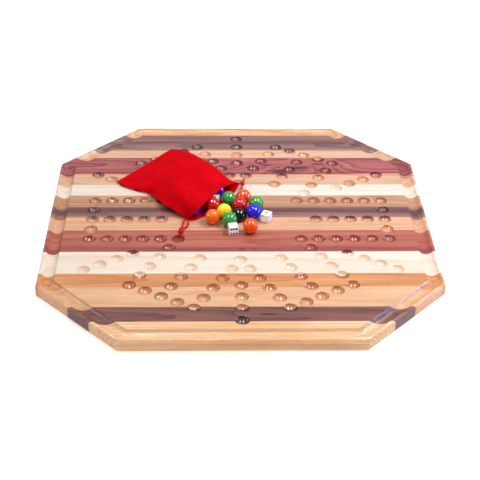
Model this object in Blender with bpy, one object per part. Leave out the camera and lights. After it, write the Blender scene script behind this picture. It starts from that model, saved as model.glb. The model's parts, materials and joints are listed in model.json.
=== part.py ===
"""Six-player marble race board, with its marbles, dice and drawstring pouch.

The board is an octagon of glued hardwood staves that run along X. Metres, +Z up. The origin is the
centre of the board's underside, and the loose pieces lie on the playing face, at z = THICKNESS.
"""

import math

import bmesh
import bpy
from mathutils import Vector

MM = 0.001
GAP = 0.3 * MM  # clearance between two pieces that touch

# Board: a square whose corners are cut at 45 degrees.
ACROSS_FLATS = 400 * MM
CORNER_CUT = 84.3 * MM
THICKNESS = 12.7 * MM
TOP_ROUND = 2.5 * MM
BOTTOM_ROUND = 1.0 * MM
ROUND_STEPS = 2
STAVES = (  # species and width in millimetres, from the far edge to the near one
    ("alder", 19.5), ("walnut", 35.0), ("cherry", 17.4), ("cedar", 38.7), ("ash", 20.0),
    ("maple", 22.3), ("oak", 22.7), ("walnut", 21.0), ("cherry", 24.2), ("cedar", 38.7),
    ("maple", 37.4), ("cherry", 22.1), ("alder", 31.3), ("walnut", 22.1), ("alder", 27.6),
)

# Holes and groove: one ball-nosed cutter makes both.
PITCH = 18.27 * MM
CUTTER_RADIUS = 8 * MM
CUT_DEPTH = 3.9 * MM
CUT_HALF_WIDTH = math.sqrt(CUTTER_RADIUS**2 - (CUTTER_RADIUS - CUT_DEPTH) ** 2)
CUTTER_TOP = 1 * MM  # how far the cutters stand above the playing face
CUTTER_SIDES = 8
CUTTER_RINGS = 2
GROOVE_INSET = 10.6 * MM  # from the board's edge to the groove's centre line
GROOVE_STEPS = 6
ARMS = 6
ARM_START = 4 * math.cos(math.radians(30))  # in pitches, from the centre to an arm's foot
ARM_HOLES = 5
LANE_OFFSET = 2  # in pitches, from an arm's axis to its two lanes
HOME_HOLES = 4
BASE_HOLES = 4
BASE_START_SLANTED = 6.86  # in pitches, from the centre to a base row's first hole
BASE_START_UPRIGHT = 6.365
UPRIGHT_BASES = (1, 4)  # the base rows that run along Y

# Playing pieces
MARBLE_DIAMETER = 16 * MM
MARBLE_SEGMENTS = 12
MARBLE_RINGS = 8
SEATED_DEPTH = CUT_DEPTH - 0.6 * MM  # how far a marble sinks into a hole
DIE_SIDE = 10 * MM
DIE_ROUND = 1.2 * MM
DIE_ROUND_STEPS = 2
LOOSE_MARBLES = {  # where each one lies on the playing face, in millimetres
    "marble_orange_1": (-27.8, -7.6),
    "marble_orange_2": (11.3, -24.8),
    "marble_orange_3": (5.6, 31.8),
    "marble_yellow_1": (-15.6, 3.2),
    "marble_green_1": (-10.2, -13.0),
    "marble_green_2": (18.5, 18.2),
    "marble_green_3": (-10.6, 27.6),
    "marble_blue_1": (15.8, 2.1),
    "marble_red_1": (0.8, 15.9),
    "marble_black_1": (0.0, 0.0),
}
MOUTH_MARBLES = {  # on the pouch's lower panel, just inside its mouth
    "marble_red_2": (-27.8, 14.0),
    "marble_blue_2": (-23.1, 43.9),
    "marble_blue_3": (-47.6, 7.2),
}
INNER_ROWS = (  # colours of each row in the pouch, its distance behind the mouth, its first place
    (("yellow", "black", "red", "yellow"), 19.0, -22.5),
    (("black", "orange", "green"), 33.5, -14.2),
    (("yellow", "red", "blue"), 48.0, -5.9),
    (("black",), 62.5, 19.0),
)
INNER_SPACING = 16.6  # between the marbles of one row, in millimetres
INNER_NUMBERS = {"yellow": 2, "black": 2, "red": 3, "orange": 4, "green": 4, "blue": 4}
LOOSE_DICE = {"die_1": (-6.6, -26.1, 11), "die_2": (28.7, -3.1, -26)}  # place and turn in degrees
MOUTH_DICE = {"die_3": (-26.5, 29.0, -23.6)}

# Pouch: two panels of velvet, sewn along the sides and the bottom.
CLOTH = 0.8 * MM
PANEL_ROWS = 18
PANEL_COLUMNS = 14
CROWN = 18.8 * MM  # height of the filled part
SEAM_LOW = 2.5 * MM  # height of the upper panel's edge where the pouch is empty
FILLED_TO = 0.42  # share of the pouch's length, from the mouth, that the marbles fill
EMPTY_FROM = 0.92
FAR_FULLNESS = 0.25  # how much further down the pouch the far side is full
SIDE_FULLNESS = 3.5  # power of the arch from seam to seam: 2 is an ellipse, more is squarer
LIP_FALL = 0.15  # share of the pouch's length over which the upper panel comes down to its lip
TURNED_UP = 0.12  # share of the pouch's width over which the lower panel rises to each seam
OVER_CONTENT = 2.5 * MM  # from a marble's surface to the outer face of the cloth that lies on it
SEAM_GAP = 1.7 * MM  # between the two panels along the side seams
MOUTH_CENTRE = (-30.4, 30.5)
MOUTH_DIRECTION = (0.643, 0.766)
NEAR_SEAM = ((-57.5, -1.0), (-70.0, 11.0), (-80.5, 21.5), (-89.0, 35.0), (-97.5, 48.5),
             (-110.0, 55.0), (-122.5, 62.0), (-134.0, 72.5))
FAR_SEAM = ((2.3, 61.5), (-6.0, 63.0), (-13.0, 73.5), (-22.5, 90.0), (-34.0, 106.5),
            (-48.0, 122.5), (-61.0, 134.5), (-74.5, 140.0))
BOTTOM_SEAM = ((-134.0, 72.5), (-119.0, 89.0), (-103.0, 107.5), (-89.0, 124.5), (-74.5, 140.0))
UPPER_LIP = ((-57.5, -1.0, 3.6), (-50.3, -4.1, 7.0), (-42.0, -0.8, 15.0), (-31.5, 12.9, 18.4),
             (-24.0, 25.6, 18.0), (-16.6, 38.5, 16.0), (-10.3, 50.0, 12.0), (-2.0, 59.0, 8.6),
             (2.3, 61.5, 7.2))
LOWER_LIP = ((-57.5, -1.0), (-48.8, -3.2), (-41.0, 2.0), (-34.2, 7.4), (-27.0, 10.4),
             (-22.5, 19.0), (-20.5, 28.5), (-16.5, 37.5), (-9.5, 45.0), (-4.3, 51.0),
             (2.3, 61.5))
NEAR_SEAM_RISE = (3.6, 6.0, 6.5, 5.5, 2.6, 2.5, 2.5, 2.5)  # along the near seam, in millimetres
FAR_SEAM_RISE = (7.2, 7.4, 7.6, 7.6, 7.4, 7.0, 6.2, 5.0)

# Drawcord: it leaves the hem's two ends. Routes are in millimetres, above the playing face.
CORD_DIAMETER = 1.9 * MM
CORD_POINT_SPACING = 2.2  # in diameters
NEAR_STRAND_A = ((-56.6, -3.4, 2.4), (-58.6, -7.4, 1.5), (-59.0, -12.0, 1.25), (-60.0, -16.5, 1.5),
                 (-61.0, -20.4, 1.9))
NEAR_STRAND_B = ((-53.6, -6.6, 3.2), (-53.2, -10.4, 1.6), (-54.2, -14.4, 1.25),
                 (-56.3, -18.0, 1.5), (-58.5, -20.4, 1.9))
NEAR_TAIL_A = ((-61.6, -26.6, 1.9), (-62.2, -28.6, 1.4), (-62.9, -31.0, 1.25), (-63.6, -33.6, 1.25))
NEAR_TAIL_B = ((-59.4, -26.6, 1.9), (-59.2, -28.6, 1.4), (-59.6, -30.8, 1.25), (-59.9, -34.8, 1.25))
FAR_STRAND = ((-2.0, 46.5, 1.3), (0.6, 47.6, 1.25), (2.6, 50.2, 1.6), (3.3, 53.6, 3.0),
              (4.4, 57.6, 5.2))
FAR_TAIL = ((5.4, 64.8, 5.2), (5.4, 67.8, 3.4), (5.8, 71.4, 1.8), (6.4, 75.4, 1.3), (7.4, 79.6, 1.25))
KNOTS = {  # centre in millimetres, and the direction that the knot's long way points
    "near_knot": ((-60.3, -23.5, 2.2), (-0.2, -1.0, 0.0)),
    "far_knot": ((5.0, 61.4, 6.2), (0.1, 1.0, -0.35)),
}
KNOT_LENGTH = 5.2 * MM
KNOT_WIDTH = 3.8 * MM
KNOT_SEGMENTS = 10
KNOT_RINGS = 6

COLOURS = {
    "alder": (0.80, 0.52, 0.29), "walnut": (0.20, 0.12, 0.10), "cherry": (0.68, 0.36, 0.18),
    "cedar": (0.46, 0.15, 0.11), "ash": (0.76, 0.52, 0.32), "maple": (0.93, 0.80, 0.64),
    "oak": (0.60, 0.37, 0.20), "orange": (0.90, 0.18, 0.02), "yellow": (0.95, 0.68, 0.02),
    "green": (0.06, 0.28, 0.07), "red": (0.48, 0.01, 0.01), "blue": (0.03, 0.03, 0.42),
    "black": (0.01, 0.01, 0.01), "die": (0.90, 0.90, 0.92), "velvet": (0.62, 0.0, 0.01),
    "cord": (0.50, 0.0, 0.02),
}
ROUGHNESS = {"velvet": 0.9, "cord": 0.7}
GLOSSY_ROUGHNESS = 0.2


def clear_scene():
    for existing in list(bpy.data.objects):
        bpy.data.objects.remove(existing, do_unlink=True)


def material(name):
    """The material of this name, made at its first use."""
    made = bpy.data.materials.get(name)
    if made is None:
        made = bpy.data.materials.new(name)
        made.use_nodes = True
        shader = made.node_tree.nodes["Principled BSDF"]
        shader.inputs["Base Color"].default_value = (*COLOURS[name], 1)
        shader.inputs["Roughness"].default_value = ROUGHNESS.get(name, GLOSSY_ROUGHNESS)
        shader.inputs["Metallic"].default_value = 0
    return made


def add_object(name, data, look=None):
    added = bpy.data.objects.new(name, data)
    bpy.context.scene.collection.objects.link(added)
    if look and not data.materials:
        data.materials.append(material(look))
    return added


def add_mesh(name, bm, look=None, smooth=False):
    bmesh.ops.recalc_face_normals(bm, faces=bm.faces)
    mesh = bpy.data.meshes.new(name)
    bm.to_mesh(mesh)
    bm.free()
    if smooth:
        mesh.shade_smooth()
    return add_object(name, mesh, look)


def add_cutter(name, bm):
    cutter = add_mesh(name, bm)
    cutter.hide_render = True
    cutter.display_type = "WIRE"
    return cutter


def add_boolean(target, operation, tool):
    boolean = target.modifiers.new(tool.name, "BOOLEAN")
    boolean.operation = operation
    boolean.solver = "EXACT"
    boolean.object = tool


# ---------------------------------------------------------------- board


def octagon(inset, z):
    """The board's outline moved inwards, anticlockwise from above."""
    half = ACROSS_FLATS / 2 - inset
    side = ACROSS_FLATS / 2 - CORNER_CUT + inset * (1 - math.sqrt(2))
    corners = ((half, -side), (half, side), (side, half), (-side, half),
               (-half, side), (-half, -side), (-side, -half), (side, -half))
    return [Vector((x, y, z)) for x, y in corners]


def skin_loops(bm, loops, closed):
    """Quads between each loop and the next; a closed skin also joins the last loop to the first."""
    rings = [[bm.verts.new(point) for point in loop] for loop in loops]
    pairs = list(zip(rings, rings[1:]))
    if closed:
        pairs.append((rings[-1], rings[0]))
    for lower, upper in pairs:
        for i in range(len(lower)):
            j = (i + 1) % len(lower)
            bm.faces.new((lower[i], lower[j], upper[j], upper[i]))
    if not closed:
        bm.faces.new(rings[0])
        bm.faces.new(rings[-1])


def board_blank():
    """The whole board before its holes: an octagonal slab with rounded edges."""
    quarter = [math.pi / 2 * i / ROUND_STEPS for i in range(ROUND_STEPS + 1)]
    loops = [octagon(BOTTOM_ROUND * (1 - math.sin(a)), BOTTOM_ROUND * (1 - math.cos(a))) for a in quarter]
    loops += [octagon(TOP_ROUND * (1 - math.cos(a)), THICKNESS - TOP_ROUND * (1 - math.sin(a)))
              for a in quarter]
    bm = bmesh.new()
    skin_loops(bm, loops, closed=False)
    return add_cutter("board_blank", bm)


def groove_cutter():
    """A round-bottomed ring along the board's edge, mitred at the corners."""
    span = math.asin(CUT_HALF_WIDTH / CUTTER_RADIUS)
    centre_z = THICKNESS + CUTTER_RADIUS - CUT_DEPTH
    loops = []
    for i in range(GROOVE_STEPS + 1):
        angle = span * (2 * i / GROOVE_STEPS - 1)
        inset = GROOVE_INSET + CUTTER_RADIUS * math.sin(angle)
        loops.append(octagon(inset, centre_z - CUTTER_RADIUS * math.cos(angle)))
    for inset in (GROOVE_INSET + CUT_HALF_WIDTH, GROOVE_INSET - CUT_HALF_WIDTH):
        loops.append(octagon(inset, THICKNESS + CUTTER_TOP))
    bm = bmesh.new()
    skin_loops(bm, loops, closed=True)
    return add_cutter("groove_cutter", bm)


def hole_places():
    """The centre of every hole: the centre, and per sixth of the board a track, a home and a base."""
    places = [Vector((0, 0))]
    for k in range(ARMS):
        angle = math.tau * k / ARMS
        along = Vector((math.cos(angle), math.sin(angle)))
        across = Vector((-along.y, along.x))
        foot = along * ARM_START
        places.append(foot + across * LANE_OFFSET)
        for i in range(1, ARM_HOLES + 1):
            places += [foot + along * i + across * side * LANE_OFFSET for side in (-1, 1)]
        places += [foot + along * ARM_HOLES + across * side for side in (-1, 0, 1)]
        places += [foot + along * i for i in range(1, HOME_HOLES + 1)]
        diagonal = Vector((math.cos(angle + math.pi / ARMS), math.sin(angle + math.pi / ARMS)))
        start = BASE_START_UPRIGHT if k in UPRIGHT_BASES else BASE_START_SLANTED
        places += [diagonal * (start + i) for i in range(BASE_HOLES)]
    return [place * PITCH for place in places]


def dimple_cutter():
    """One ball-nosed plug for each hole, all in one mesh."""
    span = math.asin(CUT_HALF_WIDTH / CUTTER_RADIUS)
    centre_z = THICKNESS + CUTTER_RADIUS - CUT_DEPTH
    flats = 1 / math.cos(math.pi / CUTTER_SIDES)  # puts the flat sides, not the corners, on the circle
    profile = []
    for ring in range(1, CUTTER_RINGS + 1):
        angle = span * ring / CUTTER_RINGS
        profile.append((CUTTER_RADIUS * math.sin(angle) * flats,
                        centre_z - CUTTER_RADIUS * math.cos(angle)))
    profile.append((CUT_HALF_WIDTH * flats, THICKNESS + CUTTER_TOP))
    bm = bmesh.new()
    for place in hole_places():
        bottom = bm.verts.new((place.x, place.y, THICKNESS - CUT_DEPTH))
        rings = []
        for radius, z in profile:
            turns = [math.tau * (i + 0.5) / CUTTER_SIDES for i in range(CUTTER_SIDES)]
            rings.append([bm.verts.new((place.x + radius * math.cos(turn),
                                        place.y + radius * math.sin(turn), z)) for turn in turns])
        for i in range(CUTTER_SIDES):
            j = (i + 1) % CUTTER_SIDES
            bm.faces.new((bottom, rings[0][j], rings[0][i]))
            for lower, upper in zip(rings, rings[1:]):
                bm.faces.new((lower[i], lower[j], upper[j], upper[i]))
        bm.faces.new(rings[-1])
    return add_cutter("dimple_cutter", bm)


def add_staves():
    blank, groove, dimples = board_blank(), groove_cutter(), dimple_cutter()
    far = ACROSS_FLATS / 2
    for number, (species, width) in enumerate(STAVES, start=1):
        near = far - width * MM
        high = far - GAP / 2 if number > 1 else far + GAP
        low = near + GAP / 2 if number < len(STAVES) else near - GAP
        bm = bmesh.new()
        bmesh.ops.create_cube(bm, size=1)
        for vert in bm.verts:
            vert.co.x *= ACROSS_FLATS + 2 * GAP
            vert.co.y = high if vert.co.y > 0 else low
            vert.co.z = THICKNESS + GAP if vert.co.z > 0 else -GAP
        stave = add_mesh(f"stave_{number:02d}_{species}", bm, species)
        add_boolean(stave, "INTERSECT", blank)
        add_boolean(stave, "DIFFERENCE", groove)
        add_boolean(stave, "DIFFERENCE", dimples)
        far = near


# ---------------------------------------------------------------- playing pieces


def marble_mesh(colour):
    name = f"marble_{colour}"
    if name not in bpy.data.meshes:
        bm = bmesh.new()
        bmesh.ops.create_uvsphere(bm, u_segments=MARBLE_SEGMENTS, v_segments=MARBLE_RINGS,
                                  radius=MARBLE_DIAMETER / 2)
        mesh = bpy.data.meshes.new(name)
        bm.to_mesh(mesh)
        bm.free()
        mesh.shade_smooth()
        mesh.materials.append(material(colour))
    return bpy.data.meshes[name]


def add_marble(name, x, y, floor):
    marble = add_object(name, marble_mesh(name.split("_")[1]))
    marble.location = (x * MM, y * MM, floor + MARBLE_DIAMETER / 2 + GAP)
    return marble


def add_die(name, x, y, turn, floor):
    bm = bmesh.new()
    bmesh.ops.create_cube(bm, size=DIE_SIDE)
    die = add_mesh(name, bm, "die")
    rounding = die.modifiers.new("rounding", "BEVEL")
    rounding.width = DIE_ROUND
    rounding.segments = DIE_ROUND_STEPS
    die.location = (x * MM, y * MM, floor + DIE_SIDE / 2 + GAP)
    die.rotation_euler = (0, 0, math.radians(turn))


def inner_marbles():
    """Name and place of each marble that is hidden in the pouch, row by row behind the mouth."""
    centre, across = Vector(MOUTH_CENTRE), Vector(MOUTH_DIRECTION)
    inwards = Vector((-across.y, across.x))
    numbers = dict(INNER_NUMBERS)
    places = {}
    for colours, distance, first in INNER_ROWS:
        for i, colour in enumerate(colours):
            place = centre + inwards * distance + across * (first + i * INNER_SPACING)
            places[f"marble_{colour}_{numbers[colour]}"] = (place.x, place.y)
            numbers[colour] += 1
    return places


def add_playing_pieces():
    on_cloth = THICKNESS + GAP + CLOTH
    for name, (x, y) in LOOSE_MARBLES.items():
        add_marble(name, x, y, THICKNESS)
    bpy.data.objects["marble_black_1"].location.z -= SEATED_DEPTH  # it sits in the centre hole
    for name, (x, y) in {**MOUTH_MARBLES, **inner_marbles()}.items():
        add_marble(name, x, y, on_cloth)
    for name, (x, y, turn) in LOOSE_DICE.items():
        add_die(name, x, y, turn, THICKNESS)
    for name, (x, y, turn) in MOUTH_DICE.items():
        add_die(name, x, y, turn, on_cloth)


# ---------------------------------------------------------------- pouch and cord


def curve_point(points, share):
    """The point at this share, 0 to 1, of a smooth curve through the points."""
    points = [Vector(point) for point in points]
    place = share * (len(points) - 1)
    i = min(int(place), len(points) - 2)
    before = points[i - 1] if i else 2 * points[0] - points[1]
    after = points[i + 2] if i + 2 < len(points) else 2 * points[-1] - points[-2]
    a, b, t = points[i], points[i + 1], place - i
    return 0.5 * (2 * a + (b - before) * t + (2 * before - 5 * a + 4 * b - after) * t * t
                  + (3 * a - before - 3 * b + after) * t**3)


def rise_at(values, share):
    return curve_point([(value, 0) for value in values], share).x


def ease(low, high, value):
    """0 below low, 1 above high, and a smooth step between them."""
    t = min(max((value - low) / (high - low), 0), 1)
    return t * t * (3 - 2 * t)


def plan_point(lip, s, t):
    """A place on a panel: s runs from mouth to bottom, t from the near seam to the far one."""
    lip = [point[:2] for point in lip]
    across = curve_point(lip, t) * (1 - s) + curve_point(BOTTOM_SEAM, t) * s
    along = curve_point(NEAR_SEAM, s) * (1 - t) + curve_point(FAR_SEAM, s) * t
    near = Vector(NEAR_SEAM[0]) * (1 - s) + Vector(NEAR_SEAM[-1]) * s
    far = Vector(FAR_SEAM[0]) * (1 - s) + Vector(FAR_SEAM[-1]) * s
    return across + along - near * (1 - t) - far * t


def seam_rise(s, t):
    return (rise_at(NEAR_SEAM_RISE, s) * (1 - t) + rise_at(FAR_SEAM_RISE, s) * t) * MM


def over_contents(place, height, contents):
    """The height raised where the cloth rests on a marble or a die."""
    reach = MARBLE_DIAMETER / 2 + OVER_CONTENT
    for content in contents:
        level = content.location.z - THICKNESS
        distance = (Vector(place) - Vector(content.location[:2])).length
        if distance < reach:
            height = max(height, level + math.sqrt(reach**2 - distance**2))
    return height


def upper_panel_point(s, t, contents):
    place = plan_point(UPPER_LIP, s, t) * MM
    edge = seam_rise(s, t)
    arch = math.sqrt(max(0, 1 - abs(2 * t - 1) ** SIDE_FULLNESS))
    emptying = ease(FILLED_TO + FAR_FULLNESS * t, EMPTY_FROM + FAR_FULLNESS * t, s)
    crown = CROWN + (SEAM_LOW - CROWN) * emptying
    height = edge + (max(crown, edge) - edge) * arch
    lip = curve_point(UPPER_LIP, t).z * MM
    near_lip = 1 - ease(0, LIP_FALL, s)
    height = height * (1 - near_lip) + lip * near_lip
    if 0 < t < 1 and s > 0:
        height = over_contents(place, height, contents)
    return (*place, THICKNESS + height)


def lower_panel_point(s, t, contents):
    place = plan_point(LOWER_LIP, s, t) * MM
    edge = max(seam_rise(s, t) - CLOTH - SEAM_GAP, 0)
    turned_up = 1 - ease(0, TURNED_UP, min(t, 1 - t))
    return (*place, THICKNESS + GAP + edge * turned_up)


def add_panel(name, point_at, contents, side):
    """A panel whose points lie on its outer face; the cloth is on this side of them, 1 or -1."""
    bm = bmesh.new()
    rows = []
    for i in range(PANEL_ROWS + 1):
        rows.append([bm.verts.new(point_at(i / PANEL_ROWS, j / PANEL_COLUMNS, contents))
                     for j in range(PANEL_COLUMNS + 1)])
    for row, following in zip(rows, rows[1:]):
        for j in range(PANEL_COLUMNS):
            bm.faces.new((row[j], row[j + 1], following[j + 1], following[j]))
    panel = add_mesh(name, bm, "velvet", smooth=True)
    if panel.data.polygons[0].normal.z < 0:
        panel.data.flip_normals()
    solidify = panel.modifiers.new("cloth", "SOLIDIFY")
    solidify.thickness = CLOTH
    solidify.offset = side


def add_pouch():
    held = [*MOUTH_MARBLES, *inner_marbles(), *MOUTH_DICE]
    contents = [bpy.data.objects[name] for name in held]
    add_panel("pouch_upper_panel", upper_panel_point, contents, side=-1)
    add_panel("pouch_lower_panel", lower_panel_point, contents, side=1)


def add_cord(name, route):
    """A closed tube along a smooth curve through the route's points."""
    points = [Vector(point) for point in route]
    length = sum((b - a).length for a, b in zip(points, points[1:])) * MM
    steps = max(3, round(length / (CORD_POINT_SPACING * CORD_DIAMETER)))
    curve = bpy.data.curves.new(name, "CURVE")
    curve.dimensions = "3D"
    curve.bevel_depth = CORD_DIAMETER / 2
    curve.bevel_resolution = 2
    curve.use_fill_caps = True
    spline = curve.splines.new("POLY")
    spline.points.add(steps)
    for i, point in enumerate(spline.points):
        place = curve_point(route, i / steps) * MM
        point.co = (place.x, place.y, place.z + THICKNESS, 1)
    spline.use_smooth = True
    add_object(name, curve, "cord")


def add_knot(name, centre, direction):
    bm = bmesh.new()
    bmesh.ops.create_uvsphere(bm, u_segments=KNOT_SEGMENTS, v_segments=KNOT_RINGS, radius=0.5)
    for vert in bm.verts:
        vert.co = (vert.co.x * KNOT_WIDTH, vert.co.y * KNOT_WIDTH, vert.co.z * KNOT_LENGTH)
    knot = add_mesh(name, bm, "cord", smooth=True)
    knot.location = Vector(centre) * MM + Vector((0, 0, THICKNESS))
    knot.rotation_mode = "QUATERNION"
    knot.rotation_quaternion = Vector(direction).to_track_quat("Z", "Y")


def add_drawcord():
    add_cord("near_strand_a", NEAR_STRAND_A)
    add_cord("near_strand_b", NEAR_STRAND_B)
    add_cord("near_tail_a", NEAR_TAIL_A)
    add_cord("near_tail_b", NEAR_TAIL_B)
    add_cord("far_strand", FAR_STRAND)
    add_cord("far_tail", FAR_TAIL)
    for name, (centre, direction) in KNOTS.items():
        add_knot(name, centre, direction)


clear_scene()
add_staves()
add_playing_pieces()
add_pouch()
add_drawcord()
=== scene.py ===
"""Looks of the six-player marble race board: varnished wood, glass, dice and a velvet pouch.

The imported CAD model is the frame. Metres, +Z up; the board's underside is centred on the origin.
"""

import itertools
import json
import math

import bmesh
import bpy
from mathutils import Matrix, Quaternion, Vector, noise

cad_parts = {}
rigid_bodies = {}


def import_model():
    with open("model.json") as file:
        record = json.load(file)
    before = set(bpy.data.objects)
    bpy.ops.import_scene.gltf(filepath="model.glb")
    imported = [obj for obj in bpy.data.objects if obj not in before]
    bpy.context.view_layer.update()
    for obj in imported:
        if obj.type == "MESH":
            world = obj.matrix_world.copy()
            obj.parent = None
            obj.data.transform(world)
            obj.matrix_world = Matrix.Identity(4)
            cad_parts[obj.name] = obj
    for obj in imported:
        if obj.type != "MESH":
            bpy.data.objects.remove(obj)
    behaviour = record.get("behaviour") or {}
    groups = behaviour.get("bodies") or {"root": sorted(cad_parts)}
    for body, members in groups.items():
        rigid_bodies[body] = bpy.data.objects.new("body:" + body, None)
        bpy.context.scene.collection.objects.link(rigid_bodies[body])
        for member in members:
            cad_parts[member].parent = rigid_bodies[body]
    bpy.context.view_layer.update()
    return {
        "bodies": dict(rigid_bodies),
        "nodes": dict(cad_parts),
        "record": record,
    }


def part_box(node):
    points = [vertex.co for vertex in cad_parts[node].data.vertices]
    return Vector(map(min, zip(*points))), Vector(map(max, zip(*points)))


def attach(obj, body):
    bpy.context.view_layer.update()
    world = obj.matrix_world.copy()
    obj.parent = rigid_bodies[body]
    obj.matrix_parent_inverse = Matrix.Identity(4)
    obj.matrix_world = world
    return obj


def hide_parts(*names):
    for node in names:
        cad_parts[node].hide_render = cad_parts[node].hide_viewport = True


MM = 0.001

# Camera, at the photograph's viewing angle
SENSOR = 36
LENS = 83.78
CAMERA_TARGET = (0.3, -38.8)  # millimetres, on the playing face
CAMERA_DISTANCE = 1.1495
CAMERA_ELEVATION = math.radians(34.5)
CAMERA_YAW = math.radians(-1.64)
CAMERA_ROLL = math.radians(0.83)

# Light: four strip lights in an arch over the board, inside a white tent
TENT_BRIGHT = 0.72  # the tent's back
TENT_DARK = 0.46  # its open front, where the camera stands
TENT_BACK = (0.35, 0.93, 0.0)
TENT_EDGE = (0.05, 0.8)  # how far towards the back it starts and stops to brighten
FLOOR_GLOW = 0.5
FLOOR_REACH = 4
FLOOR_COLOUR = "F4F3F1"
ARCH_RADIUS = 0.72
STRIP_SIZE = (0.085, 0.36)
SHINE_SIZE = (0.07, 0.4)  # as reflections show it
STRIPS = (  # degrees up from the right-hand side, watts as a lamp and in a reflection, colour
    (13, 1.3, 5, "A8C4FF"), (59, 2.8, 8, "FFFDFA"), (101, 1.3, 7.5, "FFFDFA"),
    (153, 0.3, 2, "FFF6F0"),
)
SHINE_NEARER = 0.01  # so that a reflection meets it before the lamp

# Board, as in the CAD model
ACROSS_FLATS = 400 * MM
CORNER_CUT = 84.3 * MM
TOP_ROUND = 2.5 * MM
BOTTOM_ROUND = 1.0 * MM
ROUND_STEPS = 5
PITCH = 18.27 * MM
CUTTER_RADIUS = 8 * MM
CUT_DEPTH = 3.9 * MM
CUTTER_TOP = 1 * MM
CUTTER_SIDES = 32
CUTTER_STEPS = 6
RIM_ROUND = 0.45 * MM  # the sanded edge of each hole
RIM_STEPS = 3
BOARD_SHARP = 32  # degrees between faces that meet in a sharp edge
GROOVE_INSET = 10.6 * MM
ARMS = 6
ARM_START = 4 * math.cos(math.radians(30))
ARM_HOLES = 5
LANE_OFFSET = 2
HOME_HOLES = 4
BASE_HOLES = 4
BASE_START_SLANTED = 6.86
BASE_START_UPRIGHT = 6.365
UPRIGHT_BASES = (1, 4)

# Wood: what each stave looks like, from the far edge to the near one. Lengths are in millimetres.
# light and dark are the ring's early and late wood; rings their spacing; pith the rings' centre
# beside and below the stave's middle; tilt how fast it leaves the grain's line; waves how far the
# rings wander; the soak colour how its cuts and sides darken, partly from the varnish they take up
# and partly as painted shade, deepest at a dimple's rim; grain how strong the fibres are; streaks
# are (y, width, colour, strength) and knots are (x, y, radius, colour).
# Soak colours, multiplied into cut faces and sides: partly varnish soak, partly painted shade
USUAL_SOAK_AND_SHADE = "CC9664"
WALNUT_SOAK_AND_SHADE = "6C5C60"
MAPLE_SOAK_AND_SHADE = "FFE6CC"
STAVE_LOOKS = (
    dict(light="E6BA94", dark="D48C52", rings=3.4, pith=(9, -30), tilt=0.03, waves=3),
    dict(light="A0746E", dark="70484A", rings=3.0, pith=(-6, -26), tilt=-0.02, waves=5,
         soaked_and_shaded=WALNUT_SOAK_AND_SHADE, streaks=((147.8, 1.6, "C09A90", 0.4), (163, 6, "543A40", 0.5))),
    dict(light="E4BCA0", dark="D6A280", rings=4.5, pith=(20, -40), tilt=0.02, waves=3,
         soaked_and_shaded="ECBC84"),
    dict(light="BE6A68", dark="6E2C3C", rings=4.2, pith=(4, -17), tilt=0.03, waves=8,
         soaked_and_shaded="9A5C54", streaks=((91.3, 2.2, "E8A078", 0.85), (95.5, 2.2, "6E2C3C", 0.6)),
         knots=((50, 98, 5.6, "43182C"), (72, 106, 4.0, "4E2034"), (92, 114, 3.0, "6A3040"),
                (34, 112, 2.6, "6A3040"), (-89, 112, 2.2, "4A2A30"))),
    dict(light="DEB69C", dark="CE9A7A", rings=4.6, pith=(-12, -40), tilt=0.02, waves=3,
         soaked_and_shaded="E8B880"),
    dict(light="EEE0D6", dark="E2D0BE", rings=7.0, pith=(30, -60), tilt=0.01, waves=4,
         soaked_and_shaded=MAPLE_SOAK_AND_SHADE, grain=0.4),
    dict(light="CA9A7C", dark="AE7A58", rings=3.8, pith=(10, -34), tilt=-0.03, waves=4,
         streaks=((26.5, 1.6, "96643E", 0.55),)),
    dict(light="9E6C64", dark="7A504E", rings=3.2, pith=(-10, -40), tilt=0.02, waves=4,
         soaked_and_shaded=WALNUT_SOAK_AND_SHADE, streaks=((17, 7, "4E343C", 0.7), (5.5, 2.4, "B07C62", 0.7))),
    dict(light="E2B294", dark="D29870", rings=3.6, pith=(12, -26), tilt=0.02, waves=3),
    dict(light="BE6C58", dark="9E5042", rings=5.0, pith=(-3, -30), tilt=-0.02, waves=6,
         soaked_and_shaded="B87050", streaks=((-55, 6, "7E3444", 0.6), (-38, 2.2, "8A3A40", 0.4)),
         knots=((-22, -62, 2.0, "5B3538"), (2, -55, 1.8, "5B3538"), (-120, -40, 1.6, "74403F"))),
    dict(light="EEE0D2", dark="E2CAB4", rings=7.5, pith=(-18, -70), tilt=0.01, waves=5,
         soaked_and_shaded=MAPLE_SOAK_AND_SHADE, grain=0.4),
    dict(light="DA9A68", dark="BE7644", rings=4.4, pith=(2, -20), tilt=0.03, waves=6,
         knots=((28, -94, 1.3, "3C2620"),)),
    dict(light="E2B48E", dark="D59A70", rings=5.0, pith=(6, -44), tilt=-0.02, waves=4),
    dict(light="8C5850", dark="583636", rings=3.2, pith=(-4, -24), tilt=0.02, waves=5,
         soaked_and_shaded=WALNUT_SOAK_AND_SHADE, knots=((24, -162, 1.1, "1E1213"),)),
    dict(light="F4CCA2", dark="E49E66", rings=4.0, pith=(-30, -16), tilt=0.004, waves=2,
         soaked_and_shaded="9C9498"),
)
SOAK_AND_SHADE_SHARE = "soak_and_shade_share"  # the mesh attribute that says how much of the soak colour a face takes: varnish soak and painted shade
ROUGH_CUT = "rough_cut"  # and the one that marks the groove and the outer edges, left less smooth
OUTLINE_MARGIN = 0.1 * MM
CUT_MARGIN = 0.03 * MM
FACES_UP = 0.1  # the least upward part of a cut face's normal
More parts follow.
